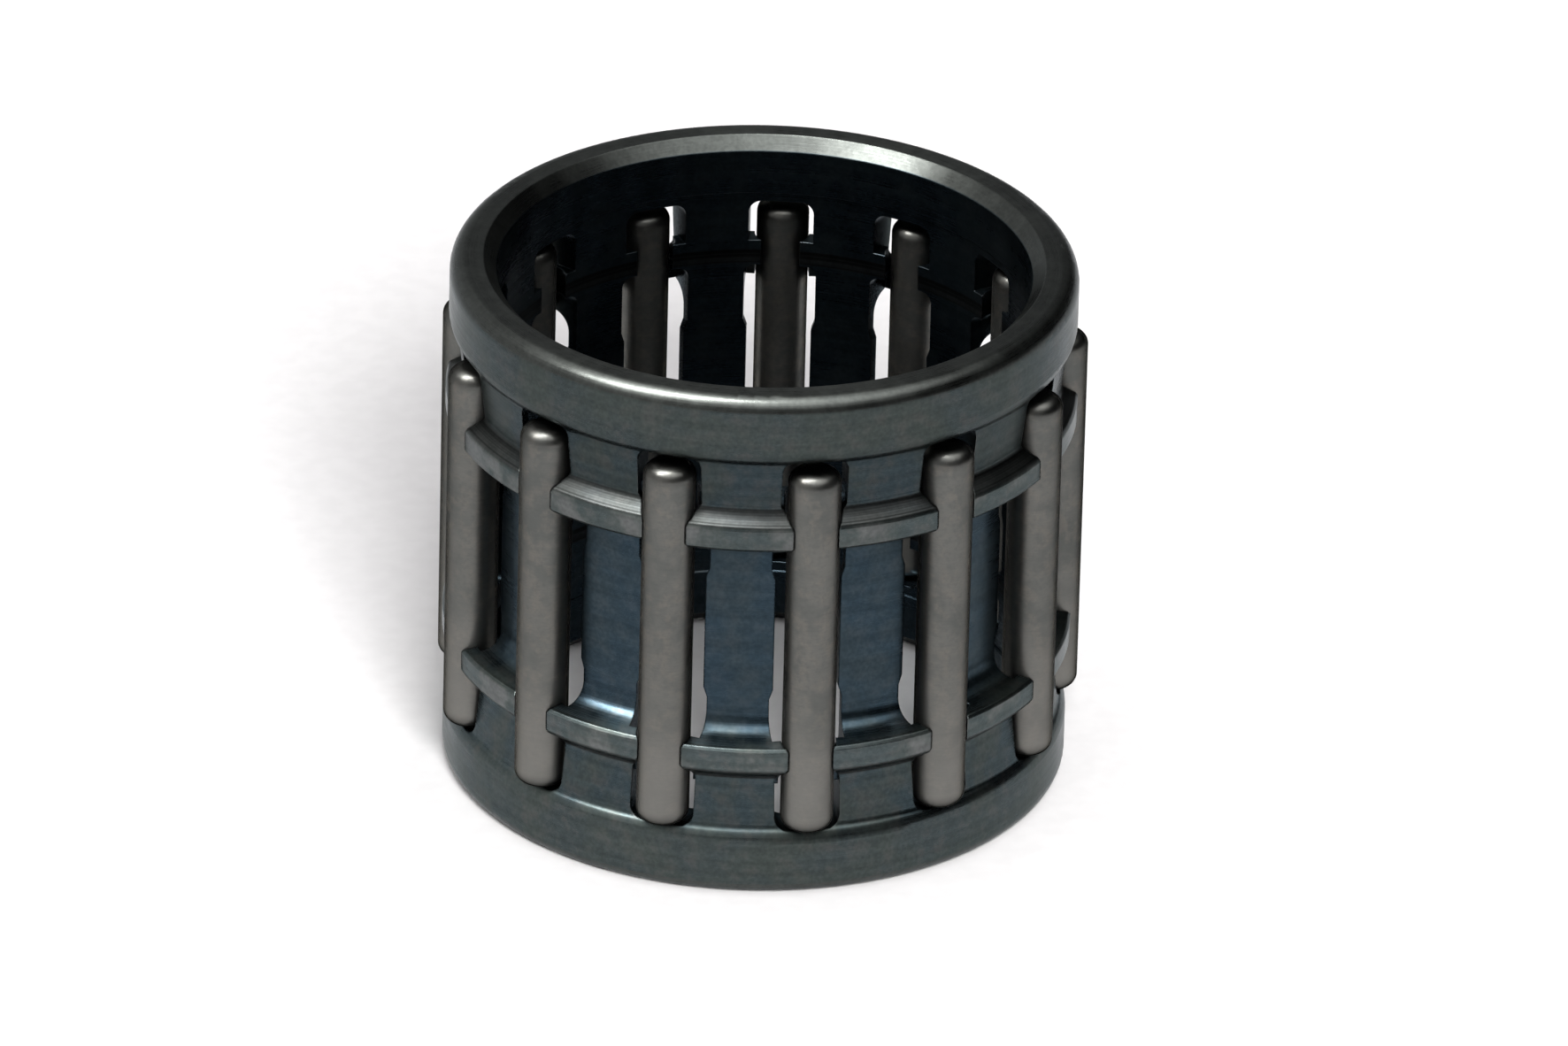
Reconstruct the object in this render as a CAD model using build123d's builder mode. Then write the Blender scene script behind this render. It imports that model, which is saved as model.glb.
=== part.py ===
from build123d import *
import math
import os

# Needle roller and cage assembly: one machined steel cage and its needle rollers, with no rings.
# The frame's origin is on the bearing's axis at mid-width, with +Z along the axis.
# All lengths are in millimetres and all angles in degrees.

# Raceways that the needles run on: one ground on the shaft, the other in the housing
shaft_raceway_diameter = 25.0
housing_raceway_diameter = 30.0

# Needle rollers
needle_count = 13
needle_diameter = (housing_raceway_diameter - shaft_raceway_diameter) / 2
needle_length = 18.8
needle_end_round = 0.65
needle_drop = 0.25  # how far the loose needles have slid down their pockets

# Cage rims
cage_width = 26.0
cage_bore_diameter = 25.2
rim_outer_diameter = 29.6
rim_foot = 9.96  # height above mid-width where the rim's outer face meets its shoulder
bore_relief_start = 10.17  # height above mid-width where the rim's bore starts
bore_chamfer = 0.62
rim_round = 0.8  # on both edges of the rim's outer face
shell_bore_diameter = 25.4  # relieved between the rims, so that only the rims touch the shaft

# A wide groove is turned between each rim and its rib; its floor is a little tapered
groove_rim_diameter = 28.8  # where the groove's floor meets the rim's sloping shoulder
groove_rim_height = 9.55
groove_rim_round = 0.4
groove_rib_diameter = 28.2  # where it meets the rib
groove_rib_height = 7.0
groove_rib_round = 0.3

# Two ribs keep the needles from falling out; between them the shell is turned down to a thin web
rib_outer_diameter = 29.8
rib_face_bottom = 5.25  # heights of a rib's outer face above mid-width
rib_face_top = 6.4
rib_edge_chamfer = 0.12
web_outer_diameter = 26.4
web_foot = 4.85  # height above mid-width where the web meets the rib's side
web_corner_round = 1.0

# Pockets: a window through the web, a slot through each rib and a window at each end
pocket_half_length = 9.7
pocket_end_round = 0.6
end_window_width = 3.1
end_window_start = 7.6  # height above mid-width
flare_end = 7.2  # the slot widens from the rib's face up to this height
web_window_width = 3.1
web_window_top = 2.9  # height above mid-width where the window starts to widen
relief_width = 3.44  # the pocket is wider beside and behind the ribs
relief_start = 3.4  # height above mid-width where it has reached this width
relief_round = 0.5  # in the pocket's corners behind the ribs

# Lips: each rib's outer edge closes over the needle, and the shell's inner edge closes under it
channel_clearance = 0.05  # between a needle and a lip
lip_mouth_width = 2.06  # narrower than a needle
inner_stop_radius = 13.6  # distance from the bearing's axis of a needle pressed fully inwards
inner_lip_start = 6.3  # height above mid-width

# Derived sizes
half_width = cage_width / 2
bore_radius = cage_bore_diameter / 2
shell_bore_radius = shell_bore_diameter / 2
rim_radius = rim_outer_diameter / 2
groove_rim_radius = groove_rim_diameter / 2
groove_rib_radius = groove_rib_diameter / 2
rib_radius = rib_outer_diameter / 2
web_radius = web_outer_diameter / 2
needle_radius = needle_diameter / 2
lip_radius = needle_radius + channel_clearance
cutter_start = bore_radius - 0.5  # a pocket's cutter starts inside the bore
cutter_end = rib_radius + 0.5  # and ends outside the ribs

# A loose needle rests against the outer lips, further out than it runs on its raceways
loose_pitch_radius = rib_radius - math.sqrt(lip_radius**2 - (lip_mouth_width / 2) ** 2)


def corners_at(sketch, radius, height):
    """Corners of the cage's section at this radius, at this distance above and below mid-width."""
    return [
        corner
        for corner in sketch.vertices()
        if abs(corner.X - radius) < 0.01 and abs(abs(corner.Y) - height) < 0.01
    ]


def cut_web_window():
    """The window through the web, which widens on its way up to the rib."""
    window = web_window_width / 2
    relief = relief_width / 2
    with BuildPart() as cut:
        with BuildSketch(Plane.YZ.offset(cutter_start)):
            with BuildLine():
                Polyline(
                    (-window, 0),
                    (window, 0),
                    (window, web_window_top),
                    (relief, relief_start),
                    (relief, web_foot),
                    (-relief, web_foot),
                    (-relief, relief_start),
                    (-window, web_window_top),
                    close=True,
                )
            make_face()
        extrude(amount=cutter_end - cutter_start)
    return cut.part


def cut_slot_behind_rib():
    """The wide slot on the inside of a rib, as deep as the middle of a resting needle."""
    with BuildPart() as cut:
        with BuildSketch(Plane.YZ.offset(cutter_start)) as outline:
            with Locations((0, (web_foot + inner_lip_start) / 2)):
                Rectangle(relief_width, inner_lip_start - web_foot)
            fillet(outline.vertices().group_by(Axis.Y)[-1], radius=relief_round)
        extrude(amount=loose_pitch_radius - cutter_start)
    return cut.part


def cut_needle_channel():
    """The round channel between the outer and the inner lips, which the needle can move in."""
    travel = loose_pitch_radius - inner_stop_radius
    with BuildPart() as cut:
        with BuildSketch(Plane.XY.offset(web_foot)):
            with Locations((inner_stop_radius, 0), (loose_pitch_radius, 0)):
                Circle(lip_radius)
            with Locations((inner_stop_radius + travel / 2, 0)):
                Rectangle(travel, 2 * lip_radius)
        extrude(amount=end_window_start - web_foot)
    return cut.part


def cut_flare():
    """The outer part of the slot widens from the rib's mouth to the end window."""
    mouth = lip_mouth_width / 2
    window = end_window_width / 2
    with BuildPart() as cut:
        with BuildSketch(Plane.YZ.offset(inner_stop_radius)):
            with BuildLine():
                Polyline(
                    (-mouth, rib_face_top),
                    (mouth, rib_face_top),
                    (window, flare_end),
                    (window, end_window_start),
                    (-window, end_window_start),
                    (-window, flare_end),
                    close=True,
                )
            make_face()
        extrude(amount=cutter_end - inner_stop_radius)
    return cut.part


def cut_end_window():
    """The window that a needle's end stands in, with round corners beside the rim."""
    with BuildPart() as cut:
        with BuildSketch(Plane.YZ.offset(cutter_start)) as outline:
            with Locations((0, (end_window_start + pocket_half_length) / 2)):
                Rectangle(end_window_width, pocket_half_length - end_window_start)
            fillet(outline.vertices().group_by(Axis.Y)[-1], radius=pocket_end_round)
        extrude(amount=cutter_end - cutter_start)
    return cut.part


def make_pocket_cutter():
    """The metal that one pocket removes, on the +X side of the cage: an upper half and its mirror."""
    cuts = [
        cut_web_window(),
        cut_slot_behind_rib(),
        cut_needle_channel(),
        cut_flare(),
        cut_end_window(),
    ]
    with BuildPart() as cutter:
        add(cuts)
        mirror(about=Plane.XY)
    return cutter.part


def make_cage():
    """The cage: a turned ring with thick rims and two ribs, and a pocket for each needle."""
    upper_outline = [
        (web_radius, web_foot),
        (rib_radius, rib_face_bottom),
        (rib_radius, rib_face_top),
        (groove_rib_radius, groove_rib_height),
        (groove_rim_radius, groove_rim_height),
        (rim_radius, rim_foot),
        (rim_radius, half_width),
    ]
    upper_bore = [
        (bore_radius, half_width),
        (bore_radius, bore_relief_start),
        (shell_bore_radius, bore_relief_start),
    ]
    lower_outline = [(radius, -height) for radius, height in reversed(upper_outline)]
    lower_bore = [(radius, -height) for radius, height in reversed(upper_bore)]
    outline = lower_outline + upper_outline + upper_bore + lower_bore
    pocket_cutter = make_pocket_cutter()
    with BuildPart() as cage:
        with BuildSketch(Plane.XZ) as section:
            with BuildLine():
                Polyline(*outline, close=True)
            make_face()
            chamfer(corners_at(section, bore_radius, half_width), length=bore_chamfer)
            fillet(corners_at(section, rim_radius, half_width), radius=rim_round)
            fillet(corners_at(section, rim_radius, rim_foot), radius=rim_round)
            chamfer(corners_at(section, rib_radius, rib_face_bottom), length=rib_edge_chamfer)
            chamfer(corners_at(section, rib_radius, rib_face_top), length=rib_edge_chamfer)
            fillet(corners_at(section, groove_rim_radius, groove_rim_height), radius=groove_rim_round)
            fillet(corners_at(section, groove_rib_radius, groove_rib_height), radius=groove_rib_round)
            fillet(corners_at(section, web_radius, web_foot), radius=web_corner_round)
        revolve(axis=Axis.Z)
        with PolarLocations(0, needle_count):
            add(pocket_cutter, mode=Mode.SUBTRACT)
    return cage.part


def make_needle(angle):
    """A needle roller with rounded ends, loose in the pocket at this angle around the axis."""
    centre_x = loose_pitch_radius * math.cos(math.radians(angle))
    centre_y = loose_pitch_radius * math.sin(math.radians(angle))
    lower_end = Plane(origin=(centre_x, centre_y, -needle_length / 2 - needle_drop))
    with BuildPart() as needle:
        with BuildSketch(lower_end):
            Circle(needle_radius)
        extrude(amount=needle_length)
        fillet(needle.edges().filter_by(GeomType.CIRCLE), radius=needle_end_round)
    return needle.part


def save(solid, node):
    """Label a finished piece and write it to its own STEP file."""
    solid.label = node
    export_step(solid, f"parts/{node}.step")


os.makedirs("parts", exist_ok=True)
save(make_cage(), "cage")
for number in range(1, needle_count + 1):
    needle_angle = (number - 1) * 360.0 / needle_count
    save(make_needle(needle_angle), f"needle_roller_{number:02d}")
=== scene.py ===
import bpy
import math
from mathutils import Matrix, Vector


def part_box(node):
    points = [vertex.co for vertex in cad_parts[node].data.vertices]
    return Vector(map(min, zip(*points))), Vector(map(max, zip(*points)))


# A needle roller and cage assembly on a pale studio floor. Everything is in metres, in the CAD frame:
# the bearing's axis is Z and its mid-width is at the origin.
MM = 0.001

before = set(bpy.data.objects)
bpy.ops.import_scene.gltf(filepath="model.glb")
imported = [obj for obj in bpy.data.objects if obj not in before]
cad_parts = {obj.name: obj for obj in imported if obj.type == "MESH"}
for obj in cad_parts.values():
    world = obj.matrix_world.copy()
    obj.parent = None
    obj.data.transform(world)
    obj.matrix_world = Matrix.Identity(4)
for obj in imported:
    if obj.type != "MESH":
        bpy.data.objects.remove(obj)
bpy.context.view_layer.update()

CAGE_NODE = "cage"
NEEDLE_NODES = sorted(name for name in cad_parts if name.startswith("needle_roller_"))
cage_low, cage_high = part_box(CAGE_NODE)

# Distances from the bearing's axis
SHELL_BORE = 12.7 * MM
WEB = 13.2 * MM
GROOVE = 14.4 * MM
RIM = 14.8 * MM
RIB = 14.9 * MM

# Distances from mid-width: a rib's sloping side towards the rim, and where the bore's chamfer starts
RIB_SIDE = (6.35 * MM, 7.15 * MM)
CHAMFER_FOOT = 12.35 * MM

# Over this distance one kind of finish fades into the next
FADE = 0.1 * MM

# Between the cage and the floor, so that their faces don't coincide
FLOOR_GAP = 0.02 * MM
FLOOR_HALF = 3.0


# ---------------------------------------------------------------- shader helpers


class Nodes:
    """The node tree of a new material or world, with short calls for the nodes used here."""

    def __init__(self, owner, output):
        owner.use_nodes = True
        self.owner = owner
        self.tree = owner.node_tree
        self.tree.nodes.clear()
        self.output = self.tree.nodes.new(output)

    @classmethod
    def for_material(cls, name):
        return cls(bpy.data.materials.new(name), "ShaderNodeOutputMaterial")

    @classmethod
    def for_world(cls, name):
        world = bpy.data.worlds.new(name)
        bpy.context.scene.world = world
        return cls(world, "ShaderNodeOutputWorld")

    def add(self, kind, inputs=None, **settings):
        node = self.tree.nodes.new("ShaderNode" + kind)
        for key, value in settings.items():
            setattr(node, key, value)
        for key, value in (inputs or {}).items():
            if isinstance(value, bpy.types.NodeSocket):
                self.tree.links.new(value, node.inputs[key])
            else:
                node.inputs[key].default_value = value
        return node

    def math(self, operation, first, second=0.0):
        return self.add("Math", {0: first, 1: second}, operation=operation).outputs[0]

    def product(self, *factors):
        result = factors[0]
        for factor in factors[1:]:
            result = self.math("MULTIPLY", result, factor)
        return result

    def total(self, *terms):
        result = terms[0]
        for term in terms[1:]:
            result = self.math("ADD", result, term)
        return result

    def ramp(self, value, low, high, to_low=0.0, to_high=1.0):
        """Maps low..high smoothly to to_low..to_high."""
        inputs = {"Value": value, "From Min": low, "From Max": high, "To Min": to_low, "To Max": to_high}
        node = self.add("MapRange", inputs, interpolation_type="SMOOTHSTEP")
        return node.outputs["Result"]

    def noise(self, vector, scale, detail=2.0, roughness=0.5):
        inputs = {"Vector": vector, "Scale": scale, "Detail": detail, "Roughness": roughness}
        return self.add("TexNoise", inputs).outputs["Fac"]

    def mix(self, factor, first, second):
        """Colour between first and second."""
        node = self.tree.nodes.new("ShaderNodeMix")
        node.data_type = "RGBA"
        # The node has a set of sockets for each data type, and these are the ones for colours
        factor_socket, first_socket, second_socket = node.inputs[0], node.inputs[6], node.inputs[7]
        for value, socket in ((factor, factor_socket), (first, first_socket), (second, second_socket)):
            if isinstance(value, bpy.types.NodeSocket):
                self.tree.links.new(value, socket)
            else:
                socket.default_value = (*value, 1.0)
        return node.outputs[2]

    def mix_value(self, factor, first, second):
        """Number between first and second."""
        node = self.add("MapRange", {"Value": factor, "To Min": first, "To Max": second})
        return node.outputs["Result"]

    def object_position(self):
        """The object's own coordinates: the vector, distance from the axis, and height."""
        position = self.add("TexCoord").outputs["Object"]
        split = self.add("SeparateXYZ", {"Vector": position})
        x, y, z = split.outputs
        squares = self.total(self.product(x, x), self.product(y, y))
        return position, self.math("SQRT", squares), z

    def edge_mask(self, radius):
        """The normal with its edges rounded, and how far it turns: 0 on flats, up to 1 on edges."""
        rounded = self.add("Bevel", {"Radius": radius}, samples=6).outputs["Normal"]
        flat = self.add("NewGeometry").outputs["Normal"]
        cosine = self.add("VectorMath", {0: rounded, 1: flat}, operation="DOT_PRODUCT")
        return rounded, self.math("SUBTRACT", 1.0, cosine.outputs["Value"])

    def finish(self, shader):
        self.tree.links.new(shader.outputs[0], self.output.inputs["Surface"])
        return self.owner


# ---------------------------------------------------------------- materials


def cage_material():
    """Black-oxide steel: blue on the thin web, greyer on the rims and ribs, and bare along edges, with
    painted shade within the cage and in the grooves by the rims, and painted light towards the bottom.
    """
    nodes = Nodes.for_material("black_oxide_steel")
    position, radius, height = nodes.object_position()

    patches = nodes.noise(position, 330.0, detail=4.0, roughness=0.6)
    mottle = nodes.noise(position, 1300.0, detail=3.0, roughness=0.6)
    grain = nodes.noise(position, 5200.0, detail=2.0)
    rings = nodes.add("CombineXYZ", {"X": radius, "Z": height}).outputs["Vector"]
    turning = nodes.noise(rings, 9000.0, detail=3.0, roughness=0.7)
    broad_turning = nodes.noise(rings, 2600.0, detail=2.0)

    from_middle = nodes.math("ABSOLUTE", height)
    end_face = nodes.ramp(from_middle, CHAMFER_FOOT, CHAMFER_FOOT + FADE)
    not_end = nodes.math("SUBTRACT", 1.0, end_face)
    # Painted shade: the surfaces within the cage, away from the end faces, are darkened below
    inside = nodes.product(nodes.ramp(radius, SHELL_BORE, WEB, 1.0, 0.0), not_end)

    # The ribs rub against the housing, which leaves lighter patches on their faces
    rubbed = nodes.product(nodes.ramp(radius, RIM, RIB), nodes.ramp(patches, 0.45, 0.65))

    # A rib's side towards the rim is darkened in streaks: partly scuffed where the needles were pushed in,
    # partly painted shade in the groove next to the rim
    side_start, side_end = RIB_SIDE
    scuffed_and_shaded = nodes.product(
        nodes.ramp(from_middle, side_start, side_start + FADE),
        nodes.ramp(from_middle, side_end - FADE, side_end, 1.0, 0.0),
    )
    streaks = nodes.ramp(nodes.noise(rings, 4600.0, detail=3.0), 0.38, 0.62, 0.26, 0.80)

    # How much the oxide reflects: most on the ribs, which stand proud; within the cage it is halved as
    # painted shade, and it is painted lighter towards the bottom and darker towards the top
    polish = nodes.product(
        nodes.total(nodes.ramp(radius, GROOVE, RIM, 0.052, 0.060), nodes.ramp(radius, RIM, RIB, 0.0, 0.018)),
        # painted shade within the cage
        nodes.ramp(inside, 0.0, 1.0, 1.0, 0.50),
        nodes.ramp(broad_turning, 0.3, 0.7, 0.90, 1.10),
        nodes.ramp(mottle, 0.3, 0.7, 0.90, 1.10),
        nodes.ramp(grain, 0.3, 0.7, 0.93, 1.07),
        # painted light and shade: lighter towards the bottom, darker towards the top
        nodes.ramp(height, cage_low[2], cage_high[2], 1.12, 0.84),
        nodes.ramp(rubbed, 0.0, 1.0, 1.0, 1.45),
        nodes.mix_value(scuffed_and_shaded, 1.0, streaks),
    )

    # Its tint follows its thickness: blue on the web, greener and browner further out, and grey at the
    # ends and where it is rubbed thin
    tint = nodes.mix(nodes.ramp(radius, WEB, GROOVE), (0.52, 0.84, 1.12), (0.68, 0.95, 1.08))
    tint = nodes.mix(nodes.ramp(radius, GROOVE, RIM), tint, (0.79, 0.99, 1.03))
    spread = nodes.ramp(radius, WEB, GROOVE, 0.35, 1.0)
    greener = nodes.product(nodes.ramp(patches, 0.35, 0.65, 0.0, 0.8), spread)
    browner = nodes.product(nodes.ramp(mottle, 0.45, 0.72, 0.0, 0.4), spread)
    tint = nodes.mix(greener, tint, (0.88, 1.06, 0.98))
    tint = nodes.mix(browner, tint, (1.06, 0.98, 0.96))
    tint = nodes.mix(end_face, tint, (0.95, 1.03, 0.99))
    bare = nodes.math("MAXIMUM", rubbed, nodes.product(scuffed_and_shaded, 0.7))
    tint = nodes.mix(bare, tint, (0.96, 1.01, 1.01))
    oxide = nodes.add("VectorMath", {0: tint, "Scale": polish}, operation="SCALE").outputs["Vector"]

    # Bare steel shows through along the edges
    rounded, edges = nodes.edge_mask(0.10 * MM)
    wear = nodes.product(
        nodes.ramp(edges, 0.03, 0.25),
        nodes.ramp(patches, 0.35, 0.6, 0.2, 1.0),
        nodes.ramp(radius, WEB, GROOVE, 0.1, 0.7),
    )
    colour = nodes.mix(wear, oxide, (0.20, 0.205, 0.205))

    roughness = nodes.total(
        nodes.ramp(patches, 0.3, 0.7, 0.25, 0.34),
        nodes.ramp(turning, 0.3, 0.7, -0.03, 0.05),
        nodes.product(wear, -0.05),
        nodes.product(scuffed_and_shaded, 0.06),
    )

    relief = nodes.total(nodes.product(turning, 0.7), nodes.product(grain, 0.3))
    bump = nodes.add("Bump", {"Strength": 0.4, "Distance": 0.012 * MM, "Height": relief, "Normal": rounded})
    around = nodes.add("Tangent", direction_type="RADIAL", axis="Z")
    shader = nodes.add(
        "BsdfPrincipled",
        {
            "Base Color": colour,
            "Metallic": 1.0,
            "Roughness": roughness,
            "Specular Tint": (0.72, 0.74, 0.75, 1.0),
            "Anisotropic": 0.3,
            "Anisotropic Rotation": 0.25,
            "Tangent": around.outputs["Tangent"],
            "Normal": bump.outputs["Normal"],
        },
    )
    return nodes.finish(shader)


def needle_material():
    """Ground and tumbled bearing steel: fine grinding rings, painted light on the lower half, and painted
    shade at the ends.
    """
    nodes = Nodes.for_material("ground_needle_steel")
    position = nodes.add("TexCoord").outputs["Object"]
    x, y, height = nodes.add("SeparateXYZ", {"Vector": position}).outputs

    cloud = nodes.noise(position, 420.0, detail=3.0, roughness=0.6)
    blotches = nodes.noise(position, 1500.0, detail=3.0, roughness=0.6)
    squeeze = 0.12  # along x and y, so that the noise runs around the needle in rings
    rings = nodes.add(
        "CombineXYZ",
        {"X": nodes.product(x, squeeze), "Y": nodes.product(y, squeeze), "Z": height},
    ).outputs["Vector"]
    grinding = nodes.noise(rings, 14000.0, detail=3.0, roughness=0.75)
    speckle = nodes.noise(position, 5000.0, detail=2.0)

    colour = nodes.mix(nodes.ramp(cloud, 0.35, 0.7), (0.130, 0.129, 0.121), (0.098, 0.102, 0.098))
    colour = nodes.mix(nodes.ramp(blotches, 0.45, 0.70, 0.0, 0.6), colour, (0.160, 0.148, 0.132))
    colour = nodes.mix(nodes.ramp(speckle, 0.45, 0.70, 0.0, 0.3), colour, (0.085, 0.090, 0.086))
    colour = nodes.mix(nodes.ramp(grinding, 0.3, 0.7, 0.0, 0.25), colour, (0.095, 0.097, 0.095))
    needle_low, needle_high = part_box(NEEDLE_NODES[0])
    middle = (needle_low[2] + needle_high[2]) / 2
    half = (needle_high[2] - needle_low[2]) / 2
    from_middle = nodes.math("ABSOLUTE", nodes.math("SUBTRACT", height, middle))
    near_end = nodes.ramp(from_middle, half * 0.90, half * 0.99)
    # Painted light: the lower half of each needle is lighter
    lower_half_painted_light = nodes.ramp(height, needle_low[2], middle, 0.60, 0.0)
    colour = nodes.mix(lower_half_painted_light, colour, (0.215, 0.210, 0.195))
    # Painted shade: each needle darkens towards its ends
    colour = nodes.mix(nodes.product(near_end, 0.85), colour, (0.045, 0.046, 0.044))

    roughness = nodes.total(
        nodes.ramp(cloud, 0.3, 0.7, 0.34, 0.44),
        nodes.ramp(grinding, 0.3, 0.7, -0.03, 0.04),
        nodes.product(near_end, -0.06),
    )
    relief = nodes.total(nodes.product(grinding, 0.7), nodes.product(speckle, 0.3))
    bump = nodes.add("Bump", {"Strength": 0.3, "Distance": 0.006 * MM, "Height": relief})
    shader = nodes.add(
        "BsdfPrincipled",
        {
            "Base Color": colour,
            "Metallic": 1.0,
            "Roughness": roughness,
            # Painted shade: the dark edge tint makes each needle's outline read dark, as if shaded by its
            # pocket
            "Specular Tint": (0.06, 0.062, 0.065, 1.0),
            "Normal": bump.outputs["Normal"],
        },
    )
    return nodes.finish(shader)


def dress(obj, material):
    """Gives every face of a carried-over CAD node this material."""
    for slot in obj.material_slots:
        slot.material = material


# ---------------------------------------------------------------- studio


def floor_material():
    nodes = Nodes.for_material("studio_floor")
    position = nodes.add("TexCoord").outputs["Object"]
    grain = nodes.noise(position, 900.0, detail=2.0)
    tone = nodes.mix(nodes.ramp(grain, 0.3, 0.7), (0.90, 0.895, 0.90), (0.93, 0.925, 0.93))
    shader = nodes.add("BsdfDiffuse", {"Color": tone})
    return nodes.finish(shader)


def make_floor():
    """A large flat floor at the height that the cage stands on."""
    mesh = bpy.data.meshes.new("floor")
    signs = ((-1, -1), (1, -1), (1, 1), (-1, 1))
    corners = [(x * FLOOR_HALF, y * FLOOR_HALF, 0) for x, y in signs]
    mesh.from_pydata(corners, [], [(0, 1, 2, 3)])
    mesh.materials.append(floor_material())
    floor = bpy.data.objects.new("floor", mesh)
    floor.location.z = cage_low[2] - FLOOR_GAP
    bpy.context.scene.collection.objects.link(floor)


def area_light(name, direction, distance, size, power, colour, glossy, diffuse):
    """A soft box in this direction from the bearing, facing it."""
    data = bpy.data.lights.new(name, "AREA")
    data.shape = "RECTANGLE"
    data.size, data.size_y = size
    data.energy = power
    data.color = colour
    light = bpy.data.objects.new(name, data)
    light.location = Vector(direction).normalized() * distance
    light.rotation_mode = "QUATERNION"
    light.rotation_quaternion = Vector(direction).to_track_quat("Z", "Y")
    light.visible_camera = False
    light.visible_glossy = glossy
    light.visible_diffuse = diffuse
    bpy.context.scene.collection.objects.link(light)


def make_world():
    """White behind the floor, soft light on matt things, and a dim room with a glowing ceiling in metal."""
    nodes = Nodes.for_world("studio")
    direction = nodes.add("TexCoord").outputs["Generated"]
    left_to_right = nodes.add("SeparateXYZ", {"Vector": direction}).outputs[0]
    room = nodes.ramp(left_to_right, -0.9, 0.7, 0.85, 0.02)  # brighter on the left
    ceiling_centre = Vector((0.02, -0.12, 0.99)).normalized()
    overhead = nodes.add("VectorMath", {0: direction, 1: ceiling_centre}, operation="DOT_PRODUCT")
    ceiling = nodes.ramp(overhead.outputs["Value"], 0.70, 0.97, 0.0, 5.0)
    brightness = nodes.math("ADD", room, ceiling)

    light_path = nodes.add("LightPath").outputs
    white = nodes.add("Background", {"Color": (1.0, 1.0, 1.0, 1.0), "Strength": 1.0})
    soft = nodes.add("Background", {"Color": (1.0, 0.985, 0.99, 1.0), "Strength": 0.68})
    mirrored = nodes.add("Background", {"Color": (1.0, 0.99, 0.97, 1.0), "Strength": brightness})
    lit = nodes.add("MixShader", {0: light_path["Is Diffuse Ray"], 1: white.outputs[0], 2: soft.outputs[0]})
    lit = lit.outputs[0]
    nodes.finish(nodes.add("MixShader", {0: light_path["Is Glossy Ray"], 1: lit, 2: mirrored.outputs[0]}))


def make_lights():
    """One light that only shines in the metal, and one that only lights the floor."""
    area_light(
        "soft_box",
        direction=(-0.345, -0.09, 0.90),
        distance=0.5,
        size=(0.15, 0.36),
        power=8.3,
        colour=(1.0, 0.98, 0.95),
        glossy=True,
        diffuse=False,
    )
    area_light(
        "key",
        direction=(0.09, -0.80, 0.60),
        distance=0.8,
        size=(0.22, 0.22),
        power=6.8,
        colour=(1.0, 0.99, 0.98),
        glossy=False,
        diffuse=True,
    )


def make_camera():
    """A long lens looking down on the bearing, turned a little so that the bearing leans right."""
    azimuth = math.radians(-3.72)
    elevation = math.radians(27.6)
    lean = math.radians(1.47)
    distance = 0.837
    aim_right = 1.19 * MM
    aim_up = -0.88 * MM
    data = bpy.data.cameras.new("camera")
    data.sensor_width = 36.0
    data.lens = 406.3
    data.clip_start = 0.01
    data.clip_end = 20.0
    camera = bpy.data.objects.new("camera", data)
    bpy.context.scene.collection.objects.link(camera)
    back = Vector((
        math.sin(azimuth) * math.cos(elevation),
        -math.cos(azimuth) * math.cos(elevation),
        math.sin(elevation),
    ))
    turn = (-back).to_track_quat("-Z", "Y").to_matrix() @ Matrix.Rotation(lean, 3, "Z")
    right = turn @ Vector((1, 0, 0))
    up = turn @ Vector((0, 1, 0))
    camera.location = right * aim_right + up * aim_up + back * distance
    camera.rotation_mode = "QUATERNION"
    camera.rotation_quaternion = turn.to_quaternion()
    bpy.context.scene.camera = camera


# ---------------------------------------------------------------- the scene

make_camera()
make_world()
make_lights()
make_floor()

cage_steel = cage_material()
needle_steel = needle_material()
dress(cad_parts[CAGE_NODE], cage_steel)
for node in NEEDLE_NODES:
    dress(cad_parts[node], needle_steel)

bpy.context.scene.view_settings.view_transform = "Standard"
